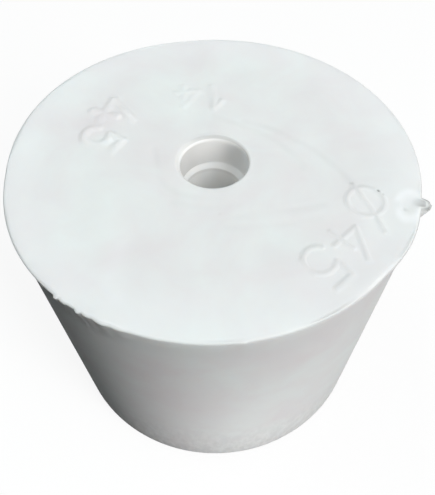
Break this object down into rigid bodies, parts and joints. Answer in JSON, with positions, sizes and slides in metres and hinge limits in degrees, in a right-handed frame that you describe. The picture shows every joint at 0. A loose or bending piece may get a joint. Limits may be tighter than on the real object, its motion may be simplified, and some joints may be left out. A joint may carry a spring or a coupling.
{
  "type": "rubber stopper",
  "caption": "Tapered white rubber stopper with a stepped through bore: plugs a neck and grips a tube pushed through its middle.",
  "frame": {"origin": "on the bore's axis, at the flat small end that the stopper stands on", "axes": "+Z along the bore, up to the large end; the picture looks along +Y and down, with +X to the right"},
  "size_m": [0.0512, 0.051, 0.04],
  "materials": {
    "white_rubber": "matt moulded white rubber"
  },
  "bodies": {
    "root": {"stopper": "white_rubber"}
  },
  "joints": []
}
